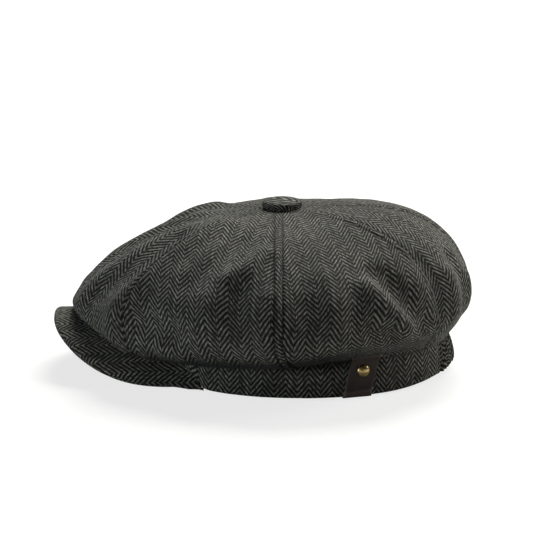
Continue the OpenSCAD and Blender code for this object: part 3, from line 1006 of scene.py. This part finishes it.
# ---- The button ----
def build_button():
    rings = 26
    spokes = 96
    angle = np.linspace(0, 360, spokes, endpoint=False)[None, :]
    s = np.linspace(0, 1, rings)[:, None]
    # from the middle of the top, over the shoulder, down the side and under the rim
    radius = BUTTON_R * np.sin(np.pi / 2 * np.clip(s / 0.62, 0, 1)) ** 0.9
    radius = np.where(s > 0.62, BUTTON_R * (1 - 0.02 * ease((s - 0.62) / 0.38)), radius)
    top = BUTTON_H * (0.62 + 0.38 * np.cos(np.pi / 2 * np.clip(s / 0.62, 0, 1)) ** 0.8)
    height = np.where(s > 0.62, BUTTON_H * 0.62 * (1 - (s - 0.62) / 0.38), top)
    phase = np.radians(angle * 14 + 40 * np.sin(np.radians(angle * 3)))
    pleats = 0.35 * ease((s - 0.5) / 0.4) * np.cos(phase)
    smooth = np.stack([radius * cosd(angle), radius * sind(angle), height + 0 * angle], -1)
    lumps = 0.25 * soft_noise(smooth, 7, 81)
    r = np.maximum(radius + pleats + lumps * ease(s / 0.3), 0.02)
    cover = np.stack(
        [r * cosd(angle), r * sind(angle) - CROWN_SHIFT, button_low[2] - 0.6 + height + lumps], -1
    )
    inside = cover - 0.8 * UP * (1 - ease((s - 0.5) / 0.3))[..., None]
    inside[..., 0] *= 1 - 0.06 * ease(s / 0.6)
    inside[..., 1] = (inside[..., 1] + CROWN_SHIFT) * (1 - 0.06 * ease(s / 0.6)) - CROWN_SHIFT
    stretch = (BUTTON_R * s * 1.35)
    weave = flat_place(stretch * cosd(angle + 25), stretch * sind(angle + 25))
    obj = shell("button_tweed", cover, inside, weave, TWEED, wrap=True)
    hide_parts("button_cover")
    return obj


# ---- The leather tab and the rivet ----
def build_tab():
    low, high = box_mm("leather_tab")
    middle = (low + high) / 2
    tab_angle = math.degrees(math.atan2(middle[0] / RIM_W, -middle[1] / RIM_L))
    mm_per_deg = math.pi / 180 * math.hypot(RIM_W * cosd(tab_angle), RIM_L * sind(tab_angle))
    width = 19.5
    thickness = 1.6
    top = BAND_H + 4.0
    rows = 46
    columns = 30
    across = np.linspace(-1, 1, columns)[None, :]
    down = np.linspace(0, 1, rows)[:, None]
    height = top + (0.1 - top) * down
    lean = -6.2 * (down - 0.4)
    shrink = 1 - 0.04 * hill(down, 0.8, 0.1)
    x = across * width / 2 * shrink + lean
    # the top edge rises a little towards the back, with rounded corners
    height = height + (0.7 * across - 0.3 * across**2 - 0.5 * across**8) * (1 - down)
    theta = tab_angle + x / mm_per_deg
    edge = np.maximum(np.abs(across) ** 10, np.abs(2 * down - 1) ** 24)
    crease = -0.55 * hill(down, 0.79, 0.022) + 0.25 * hill(down, 0.86, 0.05)
    dished = -0.35 * hill(np.hypot(x - lean, (height - 16) * 1.0), 5.4, 1.6)
    on_crown = 0.5 * np.maximum(height - BAND_H, 0) + 0.5 * ease((height - BAND_H + 4) / 4)
    lift = 0.75 + thickness + crease + dished - 0.9 * edge + on_crown
    wave = 0.15 * np.sin(across * 3 + down * 5)
    base = rim_point(theta, 0, height)
    normal = rim_normal(theta)
    outer = base + normal * (lift + wave)[..., None]
    inner = base + normal * (0.45 + on_crown)[..., None]
    # how much lighter the leather is: most along its top edge, where it is a painted highlight, and on the
    # strip below the crease
    below_crease = ease((down - 0.80) / 0.05) * (1 - ease((down - 0.93) / 0.05))
    tone_and_painted_light = 0.45 * hill(down, 0, 0.035) + 0.55 * below_crease
    # the edges are lightened as well; along the top edge this adds to the painted highlight
    weave = np.stack([x + 0 * height, height + 0 * x, tone_and_painted_light + 0.5 * edge + 0 * x], -1)
    obj = shell("tab_leather", outer, inner, weave, LEATHER)
    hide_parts("leather_tab")
    return obj, tab_angle


def build_rivet(tab_angle):
    """A domed cap with a rolled rim, pressed a little into the leather."""
    low, high = box_mm("rivet_cap")
    centre = (low + high) / 2
    radius = (high[2] - low[2]) / 2
    # from the middle of the dome to the rim that is pressed in: share of the radius, and height
    dome = [(0, 2.5), (0.2, 2.48), (0.45, 2.3), (0.66, 1.95), (0.82, 1.5), (0.93, 0.95)]
    rim = [(1.0, 0.35), (0.97, 0.0), (0.9, -0.2)]
    outline = dome + rim
    spokes = 48
    normal = rim_normal(np.array([tab_angle]))[0]
    side = unit(np.cross(UP, normal))
    foot = rim_point(np.array([tab_angle]), 0, centre[2])[0] + normal * 2.15
    rows = []
    for r, h in outline:
        a = np.linspace(0, 360, spokes, endpoint=False)
        ring = foot + normal * h + radius * max(r, 0.01) * (side * cosd(a)[:, None] + UP * sind(a)[:, None])
        rows.append(ring)
    points = np.array(rows)
    faces = grid_faces(len(outline), spokes, wrap=True)
    faces.append([len(outline) * spokes - spokes + k for k in range(spokes)][::-1])
    faces.append(list(range(spokes)))
    obj = link_mesh("rivet_dome", points.reshape(-1, 3), faces, None, BRASS, sharp_deg=60)
    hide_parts("rivet_cap")
    return obj


# ---- Stitches ----
def stitch_row(path, normals, pitch, length, radius):
    """Short thread bars lying on a path, as points and faces."""
    steps = np.linalg.norm(np.diff(path, axis=0), axis=-1)
    total = np.concatenate([[0], np.cumsum(steps)])
    starts = np.arange(pitch, total[-1] - pitch, pitch)
    points = []
    faces = []
    for s in starts:
        ends = []
        for d in np.linspace(0, length, 4):
            p = np.array([np.interp(s + d, total, path[:, k]) for k in range(3)])
            m = unit(np.array([np.interp(s + d, total, normals[:, k]) for k in range(3)]))
            ends.append((p, m))
        along = unit(ends[-1][0] - ends[0][0])
        for k, (p, m) in enumerate(ends):
            thick = radius * (0.35 if k in (0, 3) else 1.0)
            sink = -0.25 if k in (0, 3) else 0.1
            aside = unit(np.cross(along, m))
            first = len(points)
            for a in (0, 60, 120, 180, 240, 300):
                points.append(p + m * (sink + thick * sind(a)) + aside * thick * cosd(a))
            if k:
                for c in range(6):
                    e = (c + 1) % 6
                    faces.append([first - 6 + c, first - 6 + e, first + e, first + c])
        faces.append([len(points) - 24 + c for c in range(6)])
        faces.append([len(points) - 6 + c for c in range(6)][::-1])
    return points, faces


def add_rows(rows):
    points = []
    faces = []
    for row_points, row_faces in rows:
        offset = len(points)
        points += row_points
        faces += [[offset + k for k in face] for face in row_faces]
    return points, faces


def build_crown_stitches(crown):
    made = []
    for side_name in ("left", "right"):
        for part in PANELS:
            obj, outer, normal = crown[f"crown_{part}_{side_name}"]
            # the stitch line lies where the welt meets the flat of the panel
            column = outer.shape[1] - 8 if side_name == "left" else 7
            rows = slice(9, 112)
            path = outer[rows, column]
            points, faces = stitch_row(path, normal[rows, column], 2.9, 2.0, 0.16)
            stitches = link_mesh(f"topstitch_{part}_{side_name}", points, faces, None, THREAD)
            made.append((stitches, part))
    return made


# ---- Put it together ----
crown = build_crown()
lining = build_lining()
band_parts = build_band()
gather = build_gather()
peak = build_peak()
button = build_button()
tab, tab_angle = build_tab()
rivet = build_rivet(tab_angle)
crown_stitches = build_crown_stitches(crown)

for node, material in {
    "peak_board": BOARD,
    "button_shell": METAL,
    "button_shank": METAL,
    "button_backplate": METAL,
    "rivet_post": BRASS,
    "rivet_washer": BRASS,
}.items():
    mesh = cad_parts[node].data
    mesh.materials.clear()
    mesh.materials.append(material)


def follow(obj, kind):
    if kind == "front":
        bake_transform(obj)
    else:
        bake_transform(obj)


for obj, kind in band_parts:
    follow(obj, kind)
follow(gather, "rear")
for obj, part in [(entry[0], name.split("_", 1)[1].rsplit("_", 1)[0]) for name, entry in crown.items()]:
    if part in ("side_rear", "rear"):
        follow(obj, "rear")
    else:
        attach(obj, "cap")
for obj, part in lining + crown_stitches:
    if part in ("side_rear", "rear"):
        follow(obj, "rear")
    else:
        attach(obj, "cap")
for obj in peak:
    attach(obj, "peak")
for obj in (button, tab, rivet):
    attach(obj, "cap")


# ---- Floor, light and camera ----
def build_floor():
    mesh = bpy.data.meshes.new("floor")
    half = 6.0
    corners = [(-half, -half, 0), (half, -half, 0), (half, half, 0), (-half, half, 0)]
    mesh.from_pydata(corners, [], [(0, 1, 2, 3)])
    floor = bpy.data.objects.new("floor", mesh)
    bpy.context.scene.collection.objects.link(floor)
    floor.location.z = -0.0008
    material, tree, shader = new_material("pale_floor")
    n = Nodes(tree)
    # pale to the camera, but dimmer as a source of light, so the cap's underside stays dark
    to_camera = tree.nodes.new("ShaderNodeLightPath").outputs["Is Camera Ray"]
    n.put(shader.inputs["Base Color"], n.mix(to_camera, (0.68, 0.68, 0.67, 1), (0.30, 0.30, 0.30, 1)))
    shader.inputs["Emission Color"].default_value = (1, 1, 1, 1)
    # it fades into the white background away from the cap
    x, y = n.split(n.object_place())[:2]
    away = n.math("SQRT", n.math("ADD", n.math("MULTIPLY", x, x), n.math("MULTIPLY", y, y)))
    glow = n.between(away, 0.35, 1.4, 0.76, 1.0)
    n.put(shader.inputs["Emission Strength"], n.math("MULTIPLY", to_camera, glow))
    shader.inputs["Roughness"].default_value = 1.0
    shader.inputs["Specular IOR Level"].default_value = 0.0
    mesh.materials.append(material)


def area_light(name, place, size, power, aim, colour):
    data = bpy.data.lights.new(name, "AREA")
    data.shape = "DISK"
    data.size = size
    data.energy = power
    data.color = colour
    light = bpy.data.objects.new(name, data)
    bpy.context.scene.collection.objects.link(light)
    light.location = place
    light.rotation_euler = (Vector(aim) - Vector(place)).to_track_quat("-Z", "Y").to_euler()


def build_world():
    world = bpy.data.worlds.new("studio")
    bpy.context.scene.world = world
    world.use_nodes = True
    tree = world.node_tree
    n = Nodes(tree)
    background = tree.nodes["Background"]
    to_camera = tree.nodes.new("ShaderNodeLightPath").outputs["Is Camera Ray"]
    up = n.split(tree.nodes.new("ShaderNodeTexCoord").outputs["Generated"])[2]
    sky = n.between(up, 0.1, 1.0, 0.02, 0.06)
    n.put(background.inputs["Color"], (1, 1, 1, 1))
    # white where the camera sees it, faint as a light on the cap
    unseen = n.math("SUBTRACT", 1.0, to_camera)
    strength = n.math("ADD", n.math("MULTIPLY", to_camera, 1.0), n.math("MULTIPLY", unseen, sky))
    n.put(background.inputs["Strength"], strength)


# The camera looks at the middle of the cap from its left, a little from above
CAMERA_AIM = (0, -0.0224, 0.067)
CAMERA_ELEVATION = 14.5
CAMERA_DISTANCE = 2.4
VIEW_WIDTH = 0.357


def build_camera():
    data = bpy.data.cameras.new("camera")
    data.sensor_width = 36
    data.lens = data.sensor_width * CAMERA_DISTANCE / VIEW_WIDTH
    camera = bpy.data.objects.new("camera", data)
    bpy.context.scene.collection.objects.link(camera)
    e = math.radians(CAMERA_ELEVATION)
    back = Vector((math.cos(e), 0, math.sin(e)))
    camera.location = Vector(CAMERA_AIM) + back * CAMERA_DISTANCE
    camera.rotation_euler = (-back).to_track_quat("-Z", "Y").to_euler()
    bpy.context.scene.camera = camera


build_floor()
build_world()
area_light("overhead", (-0.85, 0.25, 1.25), 1.0, 35, (0, 0, 0.05), (1.0, 0.985, 0.95))
area_light("front_cool", (0.9, -1.5, 0.14), 0.8, 10, (0, -0.1, 0.03), (0.85, 0.96, 1.0))
area_light("back_warm", (-0.35, 1.6, 0.9), 0.8, 14, (0, 0.05, 0.06), (1.0, 0.98, 0.93))
area_light("low_fill", (1.9, 0.0, 0.1), 1.0, 1, (0, 0, 0.04), (1.0, 0.99, 0.97))
build_camera()
bpy.context.scene.view_settings.view_transform = "Standard"
